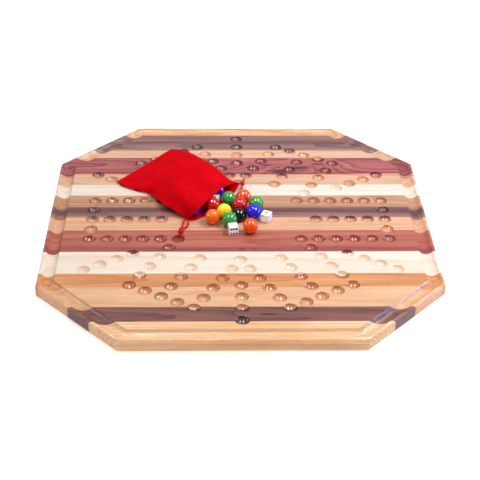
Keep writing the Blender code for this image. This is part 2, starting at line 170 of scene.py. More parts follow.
# Shares of the soak colour: a dimple's rim takes the most, as painted shade in the hollow, and its
# bottom the least; the groove and the sides take some, partly varnish soak and partly painted shade
DIMPLE_SHARE = 1.0
BOTTOM_SHARE = 0.2  # at a dimple's bottom, as a share of its rim's
GROOVE_SHARE = 0.1
SIDE_SHARE = 0.3
GROOVE_CHATTER = 26.0  # how rough the router left the groove
KNOT_STRETCH = {3: 3.2, 13: 9.0}  # a knot's length over its width, where it isn't the usual one
USUAL_KNOT_STRETCH = 2.0
KNOT_RIPPLE = 0.35  # how uneven its outline is
KNOT_EDGE = (0.35, 1.25)  # where its colour starts and stops to fade, in radii
KNOT_DARK = 0.9
KNOT_PUSH = 2.6  # how far it bends the rings round it, in radii
KNOT_FADE = -0.10  # how that falls off
RIPPLE_HEIGHT = 1.6  # of the rings' small waves, in millimetres
LATE_WOOD = 2.2  # the power that keeps most of a ring light
RING_END = 0.93
CLOUD_EDGE = (0.35, 0.75)
CLOUD_DARK = 0.45
PORE_EDGE = (0.64, 0.74)
PORE_DARK = 0.3
# The wood's noises: features in a metre along the grain, then across it, their detail and roughness
WANDER = (5.0, 42.0, 3.0)
RIPPLE = (22.0, 240.0, 3.0)
CLOUD = (9.0, 70.0, 4.0, 0.6)
FIBRE = (60.0, 1500.0, 3.0, 0.6)
LINES = (14.0, 420.0, 2.0)
PORES = (150.0, 3200.0, 1.0)
PEEL = (160.0, 160.0, 2.0)  # the varnish's unevenness
CHATTER = (700.0, 700.0, 1.0)

# Playing pieces
MARBLE_COLOURS = {
    "orange": "FF7006", "yellow": "FFE400", "green": "3C9E44", "red": "D00C0E",
    "blue": "241CE4", "black": "030304",
}
REDDER_ORANGES = ("marble_orange_2", "marble_orange_3")
REDDER_ORANGE = "FF5400"
MARBLE_SEGMENTS = 48
MARBLE_RINGS = 32
MARBLE_LUMPS = 1.8
MARBLE_UNEVEN = 0.004  # of its radius
MARBLE_TURN = 1.3  # radians from each marble to the next, so that no two show the same side
DIE_TURNS = {"die_1": 11, "die_2": -26, "die_3": -23.6}  # degrees about +Z
DIE_FACES = {  # spots on the top, front, right, back, left and bottom
    "die_1": (2, 6, 3, 1, 4, 5), "die_2": (1, 2, 4, 5, 3, 6), "die_3": (6, 4, 5, 3, 2, 1),
}
DIE_SIDE = 10 * MM
DIE_ROUND = 1.2 * MM
DIE_ROUND_STEPS = 5
DIE_SHARP = 28
PIP_RADIUS = 1.2 * MM
PIP_DEPTH = 0.25 * MM
DIE_PAINTED_GLOW = 0.13  # painted glow: the die gives out its own colour as light, lifting its shaded faces
PIP_SPACING = 2.75 * MM
PIP_COLOURS = {1: "7C0010", 2: "FFD23C", 3: "1E8A48", 4: "D87098", 5: "1C6AC0", 6: "04002C"}
PIP_LAYOUTS = {
    1: ((0, 0),), 2: ((-1, 1), (1, -1)), 3: ((-1, 1), (0, 0), (1, -1)),
    4: ((-1, -1), (-1, 1), (1, -1), (1, 1)), 5: ((-1, -1), (-1, 1), (0, 0), (1, -1), (1, 1)),
    6: ((-1, -1), (0, -1), (1, -1), (-1, 1), (0, 1), (1, 1)),
}

# Pouch, as in the CAD model: routes are millimetres above the playing face
CLOTH = 0.9 * MM
HEM_CLOTH = 1.7 * MM
HEM_WIDTH = 6.0 * MM
STITCH_WIDTH = 0.7 * MM
STITCH_DEPTH = 0.25 * MM
PANEL_ROWS = 60
PANEL_COLUMNS = 46
ROW_CROWDING = 1.15  # the power that sets the rows closer towards the mouth
START_CLEARANCE = 2.2 * MM  # from a marble's surface to the cloth before it settles
END_CLEARANCE = 1.4 * MM
COLLISION_GAP = 2.0 * MM
DRAPE_SETTINGS = dict(quality=7, mass=0.0006, air_damping=3, tension_stiffness=12,
                      compression_stiffness=12, shear_stiffness=6, bending_stiffness=10.0)
DRAPE_FRICTION = 8
DRAPE_FRAMES = 24
SMOOTHING_ROUNDS = 3
SMOOTHING = 6  # passes in each round
SMOOTHING_SHARE = 0.6  # of the way to the middle of a point's neighbours
CROWN = 18.8 * MM
SEAM_LOW = 2.5 * MM
FILLED_TO = 0.42
EMPTY_FROM = 0.92
FAR_FULLNESS = 0.25  # how much further down the pouch the far side is full
SIDE_FULLNESS = 2.8
LIP_FALL = 0.15
TURNED_UP = 0.12
LOWER_GAP = 0.3 * MM  # between the board and the lower panel
NEAR_SEAM = ((-57.5, -1.0), (-70.0, 11.0), (-80.5, 21.5), (-89.0, 35.0), (-97.5, 48.5),
             (-110.0, 55.0), (-122.5, 62.0), (-134.0, 72.5))
FAR_SEAM = ((2.3, 61.5), (-6.0, 63.0), (-13.0, 73.5), (-22.5, 90.0), (-34.0, 106.5),
            (-48.0, 122.5), (-61.0, 134.5), (-74.5, 140.0))
BOTTOM_SEAM = ((-134.0, 72.5), (-119.0, 89.0), (-103.0, 107.5), (-89.0, 124.5), (-74.5, 140.0))
UPPER_LIP = ((-57.5, -1.0, 3.6), (-50.3, -4.1, 7.0), (-42.0, -0.8, 15.0), (-31.5, 12.9, 18.4),
             (-24.0, 25.6, 18.0), (-16.6, 38.5, 16.0), (-10.3, 50.0, 12.0), (-2.0, 59.0, 8.6),
             (2.3, 61.5, 7.2))
LOWER_LIP = ((-57.5, -1.0), (-48.8, -3.2), (-41.0, 2.0), (-34.2, 7.4), (-27.0, 10.4),
             (-22.5, 19.0), (-20.5, 28.5), (-16.5, 37.5), (-9.5, 45.0), (-4.3, 51.0),
             (2.3, 61.5))
NEAR_SEAM_RISE = (3.6, 6.0, 6.5, 5.5, 2.6, 2.5, 2.5, 2.5)
FAR_SEAM_RISE = (7.2, 7.4, 7.6, 7.6, 7.4, 7.0, 6.2, 5.0)
FOLDS = (  # (s, t) where each starts and ends, height in millimetres, width
    ((1.0, 0.95), (0.1, 0.55), 2.8, 0.10),
    ((0.52, 0.0), (0.60, 0.34), -1.8, 0.05),
)
FOLD_FADE = 0.1  # towards the panel's edges
VELVET = "D80010"
STITCH_LENGTH = 2.0 * MM
STITCH_GAP = 1.0 * MM
STITCH_DIAMETER = 0.4 * MM
STITCH_STEPS = 6
STITCH_MARGIN = 2 * MM  # from each seam

# Drawcord: three twisted plies. Each route runs from the hem through the knot to its tail's end.
CORD_DIAMETER = 1.9 * MM
CORD_PLIES = 3
CORD_TWIST = 5.5 * MM  # length of one turn
CORD_STEP = 0.3 * MM
ROUTE_STEPS = 600
TUBE_END = 0.55
PLY_OFFSET = 0.55  # from the cord's middle to a ply's, and the ply's own radius, of the cord's
PLY_RADIUS = 0.7
PLY_SIDES = 8
CORD_COLOUR = "CC0410"
CORDS = {  # in millimetres above the playing face
    "near_cord_a": ((-56.6, -3.4, 2.4), (-58.6, -7.4, 1.5), (-59.0, -12.0, 1.25),
                    (-60.0, -16.5, 1.5), (-61.0, -20.4, 1.9), (-61.6, -26.6, 1.9),
                    (-62.2, -28.6, 1.4), (-62.9, -31.0, 1.25), (-63.6, -33.6, 1.25)),
    "near_cord_b": ((-53.6, -6.6, 3.2), (-53.2, -10.4, 1.6), (-54.2, -14.4, 1.25),
                    (-56.3, -18.0, 1.5), (-58.5, -20.4, 1.9), (-59.4, -26.6, 1.9),
                    (-59.2, -28.6, 1.4), (-59.6, -30.8, 1.25), (-59.9, -34.8, 1.25)),
    "far_cord": ((-2.0, 46.5, 1.3), (0.6, 47.6, 1.25), (2.6, 50.2, 1.6), (3.3, 53.6, 3.0),
                 (4.4, 57.6, 5.2), (5.4, 64.8, 5.2), (5.4, 67.8, 3.4), (5.8, 71.4, 1.8),
                 (6.4, 75.4, 1.3), (7.4, 79.6, 1.25)),
}
CORD_NODES = {
    "near_cord_a": ("near_strand_a", "near_tail_a"),
    "near_cord_b": ("near_strand_b", "near_tail_b"),
    "far_cord": ("far_strand", "far_tail"),
}
KNOTS = {  # centre, direction of its long way, turns, length, radius in millimetres, cords it ties
    "near_knot": ((-60.6, -25.2, 2.4), (-0.2, -1.0, 0.0), 3.4, 6.4, 1.9,
                  ("near_cord_a", "near_cord_b")),
    "far_knot": ((5.0, 61.4, 6.2), (0.1, 1.0, -0.35), 2.2, 3.6, 1.5, ("far_cord",)),
}
KNOT_FLATNESS = 0.75
KNOT_STEPS = 60
KNOT_TUCK = 0.86  # how far out from its middle the winding's ends start to tuck in
KNOT_CORD = 0.85 * CORD_DIAMETER  # pulled thin


# ---- materials


def linear(code, alpha=1.0):
    """A colour in linear light from its usual six hexadecimal digits."""
    shares = [int(code[i:i + 2], 16) / 255 for i in (0, 2, 4)]
    return (*[share / 12.92 if share <= 0.04045 else ((share + 0.055) / 1.055) ** 2.4
              for share in shares], alpha)


class Graph:
    """A material's nodes, or the world's, and short calls that add to them."""

    def __init__(self, name, world=False):
        self.owner = (bpy.data.worlds if world else bpy.data.materials).new(name)
        self.owner.use_nodes = True
        self.tree = self.owner.node_tree
        self.shader = self.tree.nodes["Background" if world else "Principled BSDF"]
        self.place = self.add("TexCoord").outputs["Generated" if world else "Object"]

    def feed(self, socket, value):
        if isinstance(value, bpy.types.NodeSocket):
            self.tree.links.new(value, socket)
        else:
            socket.default_value = value

    def add(self, kind, values=(), **settings):
        made = self.tree.nodes.new("ShaderNode" + kind)
        for key, value in settings.items():
            setattr(made, key, value)
        for socket, value in dict(values).items():
            self.feed(made.inputs[socket], value)
        return made

    def math(self, operation, *values):
        return self.add("Math", enumerate(values), operation=operation).outputs[0]

    def plus(self, a, b):
        return self.math("ADD", a, b)

    def minus(self, a, b):
        return self.math("SUBTRACT", a, b)

    def times(self, a, b):
        return self.math("MULTIPLY", a, b)

    def over(self, a, b):
        return self.math("DIVIDE", a, b)

    def square(self, value):
        return self.math("POWER", self.math("ABSOLUTE", value), 2.0)

    def length(self, a, b):
        """Of the line with these two parts, square to each other."""
        return self.math("SQRT", self.plus(self.square(a), self.square(b)))

    def line(self, value, slope, start):
        """start where the value is 0, and slope more for each 1 of it."""
        return self.plus(self.times(value, slope), start)

    def attribute(self, name):
        return self.add("Attribute", attribute_name=name).outputs["Fac"]

    def scaled(self, vector, scale):
        return self.add("VectorMath", {0: vector, 1: scale}, operation="MULTIPLY").outputs[0]

    def noise(self, vector, scale, detail=2.0, roughness=0.5):
        values = {"Vector": vector, "Scale": scale, "Detail": detail, "Roughness": roughness}
        return self.add("TexNoise", values).outputs["Fac"]

    def between(self, value, low, high, smooth=True):
        """0 at low and 1 at high."""
        made = self.add("MapRange", {"Value": value, "From Min": low, "From Max": high})
        made.interpolation_type = "SMOOTHSTEP" if smooth else "LINEAR"
        return made.outputs[0]

    def mix(self, factor, a, b, blend="MIX"):
        values = {0: factor, 6: a, 7: b}
        return self.add("Mix", values, data_type="RGBA", blend_type=blend).outputs[2]

    def grey(self, value):
        return self.add("CombineColor", {0: value, 1: value, 2: value}).outputs[0]

    def bump(self, height, strength, distance):
        values = {"Height": height, "Strength": strength, "Distance": distance}
        return self.add("Bump", values).outputs[0]

    def set(self, **values):
        for key, value in values.items():
            self.feed(self.shader.inputs[key.replace("_", " ")], value)


def wood(name, number, look):
    """Varnished wood whose rings run along X round a line beside the stave."""
    g = Graph(name)
    seed = (number * 0.71, number * 0.13, number * 0.29)
    place = g.add("VectorMath", {0: g.place, 1: seed}, operation="ADD").outputs[0]
    parts = g.add("SeparateXYZ", {0: g.place}).outputs
    x, y, z = (g.times(part, 1 / MM) for part in parts)
    low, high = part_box(name)
    middle = (low.y + high.y) / 2 / MM
    top = high.z / MM

    def figure(along, across, *detail):
        return g.noise(g.scaled(place, (along, across, across)), 1.0, *detail)

    wander = g.times(g.minus(figure(*WANDER), 0.5), look["waves"])
    ripple = g.times(g.minus(figure(*RIPPLE), 0.5), RIPPLE_HEIGHT)
    side = g.minus(y, middle + look["pith"][0])
    depth = g.plus(g.minus(z, top + look["pith"][1]), g.times(x, look["tilt"]))
    distance = g.plus(g.plus(g.length(side, depth), wander), ripple)

    knots = []
    for knot_x, knot_y, radius, knot_colour in look.get("knots", ()):
        stretch = KNOT_STRETCH.get(number, USUAL_KNOT_STRETCH)
        along = g.over(g.minus(x, knot_x), radius * stretch)
        across = g.over(g.minus(y, knot_y), radius)
        reach = g.plus(g.length(along, across), g.times(ripple, KNOT_RIPPLE))
        fall = g.math("EXPONENT", g.times(g.square(reach), KNOT_FADE))
        distance = g.plus(distance, g.times(fall, radius * KNOT_PUSH))
        knots.append((g.minus(1.0, g.between(reach, *KNOT_EDGE)), knot_colour))

    light, dark = linear(look["light"]), linear(look["dark"])
    rings = g.math("FRACT", g.over(distance, look["rings"]))
    late = g.times(g.math("POWER", rings, LATE_WOOD), g.between(rings, 1.0, RING_END))
    cloud = figure(*CLOUD)
    colour = g.mix(g.times(late, g.line(cloud, 1.2, 0.3)), light, dark)
    colour = g.mix(g.times(g.between(cloud, *CLOUD_EDGE), CLOUD_DARK), colour, dark)
    for streak_y, width, streak_colour, strength in look.get("streaks", ()):
        away = g.math("ABSOLUTE", g.plus(g.minus(y, streak_y), wander))
        share = g.times(g.between(away, width, width * 0.3), strength)
        colour = g.mix(share, colour, linear(streak_colour))
    for mask, knot_colour in knots:
        colour = g.mix(g.times(mask, KNOT_DARK), colour, linear(knot_colour))

    fibre = figure(*FIBRE)
    shade = g.times(g.line(fibre, 0.44, 0.78), g.line(figure(*LINES), 0.5, 0.75))
    pores = g.times(g.between(figure(*PORES), *PORE_EDGE), PORE_DARK)
    shade = g.minus(g.times(shade, g.minus(1.0, pores)), 1.0)
    shade = g.line(shade, look.get("grain", 1.0), 1.0)
    colour = g.mix(1.0, colour, g.grey(shade), "MULTIPLY")

    # Cuts and sides darken towards the soak colour: partly varnish soak, partly painted shade that
    # is deepest at a dimple's rim
    soaked_and_shaded = g.mix(1.0, colour, linear(look.get("soaked_and_shaded", USUAL_SOAK_AND_SHADE)), "MULTIPLY")
    cut = g.times(g.attribute(SOAK_AND_SHADE_SHARE), g.line(fibre, 0.5, 0.7))
    chatter = g.times(g.times(g.attribute(ROUGH_CUT), figure(*CHATTER)), GROOVE_CHATTER)
    peel = g.plus(figure(*PEEL), chatter)
    g.set(Base_Color=g.mix(cut, colour, soaked_and_shaded), Roughness=g.line(fibre, 0.15, 0.38),
          Normal=g.bump(fibre, 0.12, 0.0001), Coat_Weight=0.45, Coat_Roughness=0.06,
          Coat_Normal=g.bump(peel, 1.0, 0.00002), Specular_IOR_Level=0.08)
    return g.owner


def glass(name, colour):
    """Opaque coloured glass with faint swirls and tiny scuffs."""
    g = Graph(name)
    swirl = g.noise(g.place, 1.3, 4.0, 0.6)
    dark = g.mix(1.0, linear(colour), linear("D8D8D8"), "MULTIPLY")
    scuff = g.noise(g.place, 22.0, 3.0)
    g.set(Base_Color=g.mix(g.between(swirl, 0.42, 0.72), linear(colour), dark),
          Roughness=g.line(g.between(scuff, 0.65, 0.9), 0.05, 0.05), IOR=1.42)
    return g.owner


def plastic(name, colour, coat=0.3, painted_glow=0.0):
    """Faintly mottled plastic; without its coat, dull paint; a painted glow, where given, makes it
    give out its own colour as light.
    """
    g = Graph(name)
    mottle = g.noise(g.place, 900.0, 3.0)
    shaded = g.mix(1.0, linear(colour), linear("E6E6E6"), "MULTIPLY")
    g.set(Base_Color=g.mix(g.between(mottle, 0.4, 0.8), linear(colour), shaded),
          Roughness=g.line(mottle, 0.1, 0.16 if coat else 0.76),
          Normal=g.bump(mottle, 0.04, 0.0001), Coat_Weight=coat, Coat_Roughness=0.05,
          Specular_IOR_Level=0.5 if coat else 0.05, Emission_Color=linear(colour),
          Emission_Strength=painted_glow)
    return g.owner


def velvet(name, colour):
    """Short pile: fine speckle, random patches of painted sheen and painted shade like brushed nap,
    and sheen.
    """
    g = Graph(name)
    pile = g.noise(g.place, 3000.0, 3.0, 0.7)
    # painted sheen and shade: patches at random where the nap is painted lighter and darker, as
    # light catches brushed pile
    sheen_patches = g.noise(g.scaled(g.place, (60.0, 45.0, 60.0)), 1.0, 4.0, 0.6)
    nap_in_painted_shade = g.mix(1.0, linear(colour), linear("E2E2E2"), "MULTIPLY")
    lit = g.mix(g.between(sheen_patches, 0.3, 0.7), nap_in_painted_shade, linear(colour))
    shade = g.line(pile, 0.5, 0.75)
    g.set(Base_Color=g.mix(1.0, lit, g.grey(shade), "MULTIPLY"),
          Roughness=0.9, Normal=g.bump(pile, 0.3, 0.0003), Sheen_Weight=0.05,
          Sheen_Roughness=0.4, Sheen_Tint=linear("FF1010"), Specular_IOR_Level=0.02)
    return g.owner


def satin(name, colour):
    """Cord and thread: fine filaments along the ply."""
    g = Graph(name)
    thread = g.noise(g.scaled(g.place, (1900.0, 1900.0, 1900.0)), 1.0, 2.0)
    patch = g.noise(g.place, 260.0, 2.0)
    shade = g.times(g.line(thread, 0.6, 0.7), g.line(patch, 0.3, 0.85))
    g.set(Base_Color=g.mix(1.0, linear(colour), g.grey(shade), "MULTIPLY"),
          Roughness=0.7, Normal=g.bump(thread, 0.4, 0.0002), Sheen_Weight=0.1,
          Sheen_Roughness=0.4, Sheen_Tint=linear("FF3030"), Specular_IOR_Level=0.15)
    return g.owner


# ---- shapes


def add_object(name, data, *looks):
    added = bpy.data.objects.new(name, data)
    bpy.context.scene.collection.objects.link(added)
    for look in looks:
        data.materials.append(look)
    return added


def add_mesh(name, bm, *looks, smooth=True):
    bmesh.ops.recalc_face_normals(bm, faces=bm.faces)
    mesh = bpy.data.meshes.new(name)
    bm.to_mesh(mesh)
    bm.free()
    if smooth:
        mesh.shade_smooth()
    return add_object(name, mesh, *looks)


def apply_modifiers(obj):
    """Keeps what the modifiers make as the object's own mesh."""
    graph = bpy.context.evaluated_depsgraph_get()
    mesh = bpy.data.meshes.new_from_object(obj.evaluated_get(graph), depsgraph=graph)
    obj.modifiers.clear()
    obj.data = mesh


def cut_away(piece, cutter, solver, materials="INDEX"):
    """Takes the cutter's shape out of the piece, and then the cutter out of the scene."""
    cut = piece.modifiers.new("cut", "BOOLEAN")
    cut.operation = "DIFFERENCE"
    cut.solver = solver
    cut.material_mode = materials
    cut.object = cutter
    apply_modifiers(piece)
    bpy.data.objects.remove(cutter)


def shade_flat_faces(piece, sharp):
    """Keeps flat faces flat beside their rounded edges."""
    piece.data.set_sharp_from_angle(angle=math.radians(sharp))
    weighted = piece.modifiers.new("flat faces stay flat", "WEIGHTED_NORMAL")
    weighted.keep_sharp = True
    apply_modifiers(piece)


def curve_point(points, share):
    """The point at this share, 0 to 1, of a smooth curve through the points."""
    points = [Vector(point) for point in points]
    place = share * (len(points) - 1)
    i = min(int(place), len(points) - 2)
    before = points[i - 1] if i else 2 * points[0] - points[1]
    after = points[i + 2] if i + 2 < len(points) else 2 * points[-1] - points[-2]
    a, b, t = points[i], points[i + 1], place - i
    return 0.5 * (2 * a + (b - before) * t + (2 * before - 5 * a + 4 * b - after) * t * t
                  + (3 * a - before - 3 * b + after) * t**3)


def ease(low, high, value):
    """0 below low, 1 above high, and a smooth step between them."""
    t = min(max((value - low) / (high - low), 0), 1)
    return t * t * (3 - 2 * t)


def skin(bm, rings, closed=True, turned=False):
    """Faces between each ring of corners, or each row, and the next."""
    for ring, following in zip(rings, rings[1:]):
        for i in range(len(ring) if closed else len(ring) - 1):
            j = (i + 1) % len(ring)
            corners = (ring[i], ring[j], following[j], following[i])
            bm.faces.new(corners[::-1] if turned else corners)


def around(point, directions, turn, radius):
    """The place beside a path's point, this far from it and turned this much round the path."""
    side, up = directions
    return point + (side * math.cos(turn) + up * math.sin(turn)) * radius


def lengths_along(points):
    """How far along the path each of its points is."""
    lengths = [0.0]
    for a, b in zip(points, points[1:]):
        lengths.append(lengths[-1] + (b - a).length)
    return lengths


def point_along(points, lengths, distance):
    """The point this far along a path."""
    for k in range(len(points) - 1):
        if lengths[k + 1] >= distance:
            share = (distance - lengths[k]) / (lengths[k + 1] - lengths[k])
            return points[k].lerp(points[k + 1], share)
    return points[-1]


def even_points(route, step, top):
    """Points this far apart on the smooth curve through a route in millimetres above the face."""
    fine = [curve_point(route, i / ROUTE_STEPS) * MM + Vector((0, 0, top))
            for i in range(ROUTE_STEPS + 1)]
    lengths = lengths_along(fine)
    count = max(4, round(lengths[-1] / step))
    points = [point_along(fine, lengths, lengths[-1] * i / count) for i in range(count + 1)]
    return points, lengths[-1]


def frames_along(points):
    """Two directions square to the path at each point, which don't spin round it."""
    tangents = []
    for i in range(len(points)):
        tangents.append((points[min(i + 1, len(points) - 1)] - points[max(i - 1, 0)]).normalized())
    side = tangents[0].orthogonal().normalized()
    frames = []
    for tangent in tangents:
        side = (side - tangent * side.dot(tangent)).normalized()
        frames.append((side, tangent.cross(side)))
    return frames


def tube(bm, points, radius, sides):
    """A closed round tube, thinner at its first and last points."""
    rings = []
    for i, (point, directions) in enumerate(zip(points, frames_along(points))):
        size = radius if 0 < i < len(points) - 1 else radius * TUBE_END
        rings.append([bm.verts.new(around(point, directions, math.tau * k / sides, size))
                      for k in range(sides)])
    skin(bm, rings)
    bm.faces.new(list(reversed(rings[0])))
    bm.faces.new(rings[-1])


def plied(bm, points, diameter, step):
    """Three twisted plies round a path."""
    offset = diameter / 2 * PLY_OFFSET
    ply = diameter / 2 * PLY_RADIUS
    frames = frames_along(points)
    for k in range(CORD_PLIES):
        turns = [math.tau * (i * step / CORD_TWIST + k / CORD_PLIES) for i in range(len(points))]
        spiral = [around(*place, offset) for place in zip(points, frames, turns)]
        tube(bm, spiral, ply, PLY_SIDES)


# ---- drawcord


def add_cords(top, look):
    made = {}
    for name, route in CORDS.items():
        points, length = even_points(route, CORD_STEP, top)
        bm = bmesh.new()
        plied(bm, points, CORD_DIAMETER, CORD_STEP)
        cord = add_mesh(name, bm, look)
        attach(cord, "pouch")
        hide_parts(*CORD_NODES[name])
        made[name] = (cord, points, length)
    for name, (centre, direction, turns, length, radius, tied) in KNOTS.items():
        place = Vector(centre) * MM + Vector((0, 0, top))
        knot = add_knot(name + "_wraps", place, direction, turns, length * MM, radius * MM, look)
        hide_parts(name)
        for i, cord_name in enumerate(tied):
            cord, points, cord_length = made[cord_name]


def add_knot(name, centre, direction, turns, length, radius, look):
    """Turns of cord wound tightly round the strands that it ties."""
    turn_to = Vector(direction).to_track_quat("Z", "Y")
    points = []
    for i in range(KNOT_STEPS + 1):
        share = i / KNOT_STEPS
        angle = math.tau * turns * share
        inwards = 1 - 0.5 * ease(KNOT_TUCK, 1, abs(2 * share - 1))
        local = Vector((math.cos(angle) * radius * inwards,
                        math.sin(angle) * radius * inwards,
                        (share - 0.5) * length))
        placed = turn_to @ local
        placed.z *= KNOT_FLATNESS
        points.append(centre + placed)
    bm = bmesh.new()
    plied(bm, points, KNOT_CORD, radius * math.tau * turns / KNOT_STEPS)
    knot = add_mesh(name, bm, look)
    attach(knot, "pouch")
    return knot


# ---- board


def octagon(inset, z):
    half = ACROSS_FLATS / 2 - inset
    side = ACROSS_FLATS / 2 - CORNER_CUT + inset * (1 - math.sqrt(2))
    corners = ((half, -side), (half, side), (side, half), (-side, half),
               (-half, side), (-half, -side), (-side, -half), (side, -half))
    return [Vector((x, y, z)) for x, y in corners]


def skin_loops(bm, loops, closed):
    """Faces between each loop and the next, then back to the first or over both ends."""
    rings = [[bm.verts.new(point) for point in loop] for loop in loops]
    skin(bm, rings + rings[:1] if closed else rings)
    if not closed:
        bm.faces.new(list(reversed(rings[0])))
        bm.faces.new(rings[-1])


def blank_loops(top):
    quarter = [math.pi / 2 * i / ROUND_STEPS for i in range(ROUND_STEPS + 1)]
    bottom = [octagon(BOTTOM_ROUND * (1 - math.sin(a)), BOTTOM_ROUND * (1 - math.cos(a)))
              for a in quarter]
    return bottom + [octagon(TOP_ROUND * (1 - math.cos(a)), top - TOP_ROUND * (1 - math.sin(a)))
                     for a in quarter]


def cut_profile(top):
    """(distance from the centre line, height) from the bottom of a cut up over its sanded rim."""
    centre_z = top + CUTTER_RADIUS - CUT_DEPTH
    rise = centre_z - (top - RIM_ROUND)
    rim_x = math.sqrt((CUTTER_RADIUS + RIM_ROUND) ** 2 - rise**2)
    meeting = math.atan2(rim_x, rise)
    profile = [(CUTTER_RADIUS * math.sin(meeting * i / CUTTER_STEPS),
                centre_z - CUTTER_RADIUS * math.cos(meeting * i / CUTTER_STEPS))
               for i in range(CUTTER_STEPS + 1)]
    for i in range(1, RIM_STEPS + 1):
        angle = meeting * (1 - i / (RIM_STEPS + 0.4))
        profile.append((rim_x - RIM_ROUND * math.sin(angle),
                        top - RIM_ROUND * (1 - math.cos(angle))))
    x, z = profile[-1]
    profile.append((x + (top - z) * 3 + 0.04 * MM, top + 0.01 * MM))
    profile.append((profile[-1][0], top + CUTTER_TOP))
    return profile


def hole_places():
    places = [Vector((0, 0))]
    for k in range(ARMS):
        angle = math.tau * k / ARMS
        along = Vector((math.cos(angle), math.sin(angle)))
        across = Vector((-along.y, along.x))
        foot = along * ARM_START
        places.append(foot + across * LANE_OFFSET)
        for i in range(1, ARM_HOLES + 1):
            places += [foot + along * i + across * side * LANE_OFFSET for side in (-1, 1)]
        places += [foot + along * ARM_HOLES + across * side for side in (-1, 0, 1)]
        places += [foot + along * i for i in range(1, HOME_HOLES + 1)]
        diagonal = Vector((math.cos(angle + math.pi / ARMS), math.sin(angle + math.pi / ARMS)))
        start = BASE_START_UPRIGHT if k in UPRIGHT_BASES else BASE_START_SLANTED
        places += [diagonal * (start + i) for i in range(BASE_HOLES)]
    return [place * PITCH for place in places]


def add_hole(bm, place, profile):
    bottom = bm.verts.new((place.x, place.y, profile[0][1]))
    rings = []
    for radius, z in profile[1:]:
        turns = [math.tau * i / CUTTER_SIDES for i in range(CUTTER_SIDES)]
        rings.append([bm.verts.new((place.x + radius * math.cos(turn),
                                    place.y + radius * math.sin(turn), z)) for turn in turns])
    for i in range(CUTTER_SIDES):
        j = (i + 1) % CUTTER_SIDES
        bm.faces.new((bottom, rings[0][j], rings[0][i]))
        for lower, upper in zip(rings, rings[1:]):
            bm.faces.new((lower[i], lower[j], upper[j], upper[i]))
    bm.faces.new(rings[-1])


def cutter_for(near, far, top):
    """The groove, and every hole that touches this stretch of the board."""
    profile = cut_profile(top)
    bm = bmesh.new()
    sides = [(-x, z) for x, z in reversed(profile)] + profile[1:]
    skin_loops(bm, [octagon(GROOVE_INSET + x, z) for x, z in sides], closed=True)
    reach = profile[-1][0]
    for place in hole_places():
        if near - reach < place.y < far + reach:
            add_hole(bm, place, profile)
    return add_mesh("cutter", bm, smooth=False)


def slice_of_blank(near, far, top):
    """The board between two glue lines, before its holes."""
    bm = bmesh.new()
    skin_loops(bm, blank_loops(top), closed=False)
    for y, outer in ((near, -1), (far, 1)):
        if abs(y) > ACROSS_FLATS / 2 - MM:
            continue
        geometry = [*bm.verts, *bm.edges, *bm.faces]
        cut = bmesh.ops.bisect_plane(bm, geom=geometry, plane_co=(0, y, 0), plane_no=(0, outer, 0),
                                     clear_outer=True)
        edges = [item for item in cut["geom_cut"] if isinstance(item, bmesh.types.BMEdge)]
        bmesh.ops.edgeloop_fill(bm, edges=edges)
    return bm


def inset_of(place):
    """How far a place is inside the board's outline."""
    x, y = abs(place.x), abs(place.y)
    corner = (ACROSS_FLATS - CORNER_CUT - x - y) / math.sqrt(2)
    return min(ACROSS_FLATS / 2 - x, ACROSS_FLATS / 2 - y, corner)


def mark_cuts(mesh, top):
    """Gives each cut face and the outline their share of the soak colour, partly varnish soak and
    partly painted shade, and of roughness.
    """
    mesh.attributes.new(SOAK_AND_SHADE_SHARE, "FLOAT", "CORNER")
    mesh.attributes.new(ROUGH_CUT, "FLOAT", "CORNER")
    shares, rough = mesh.attributes[SOAK_AND_SHADE_SHARE], mesh.attributes[ROUGH_CUT]
    groove_end = GROOVE_INSET + CUTTER_RADIUS
    for face in mesh.polygons:
        inset = inset_of(face.center)
        outline = inset < TOP_ROUND + OUTLINE_MARGIN
        cut = not outline and face.center.z < top - CUT_MARGIN and face.normal.z > FACES_UP
        dimple = cut and inset > groove_end
        for corner in face.loop_indices:
            # a dimple's share falls from its rim to its bottom: painted shade, deepest at the rim,
            # with some varnish soak
            if dimple:
                depth = (top - mesh.vertices[mesh.loops[corner].vertex_index].co.z) / CUT_DEPTH
                shares.data[corner].value = DIMPLE_SHARE * (1 - depth * (1 - BOTTOM_SHARE))
            elif cut:
                shares.data[corner].value = GROOVE_SHARE
            elif inset < OUTLINE_MARGIN:
                shares.data[corner].value = SIDE_SHARE
            rough.data[corner].value = 1 if outline or cut and not dimple else 0


def add_staves(frame):
    names = sorted(name for name in frame["nodes"] if name.startswith("stave_"))
    boxes = [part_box(name) for name in names]
    top = boxes[0][1].z
    lines = [boxes[0][1].y]
    lines += [(a[0].y + b[1].y) / 2 for a, b in zip(boxes, boxes[1:])]
    lines.append(boxes[-1][0].y)
    for number, (name, look) in enumerate(zip(names, STAVE_LOOKS)):
        far, near = lines[number], lines[number + 1]
        piece = add_mesh(name.replace("stave", "plank"), slice_of_blank(near, far, top),
                         wood(name, number, look))
        cut_away(piece, cutter_for(near, far, top), "MANIFOLD")
        mark_cuts(piece.data, top)
        shade_flat_faces(piece, BOARD_SHARP)
        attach(piece, "board")
        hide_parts(name)
    return top


# ---- playing pieces


def body_of(name, frame):
    """The body that a marble or a die is: its own, or the pouch that holds it."""
    return name + "_body" if name + "_body" in frame["bodies"] else "pouch"


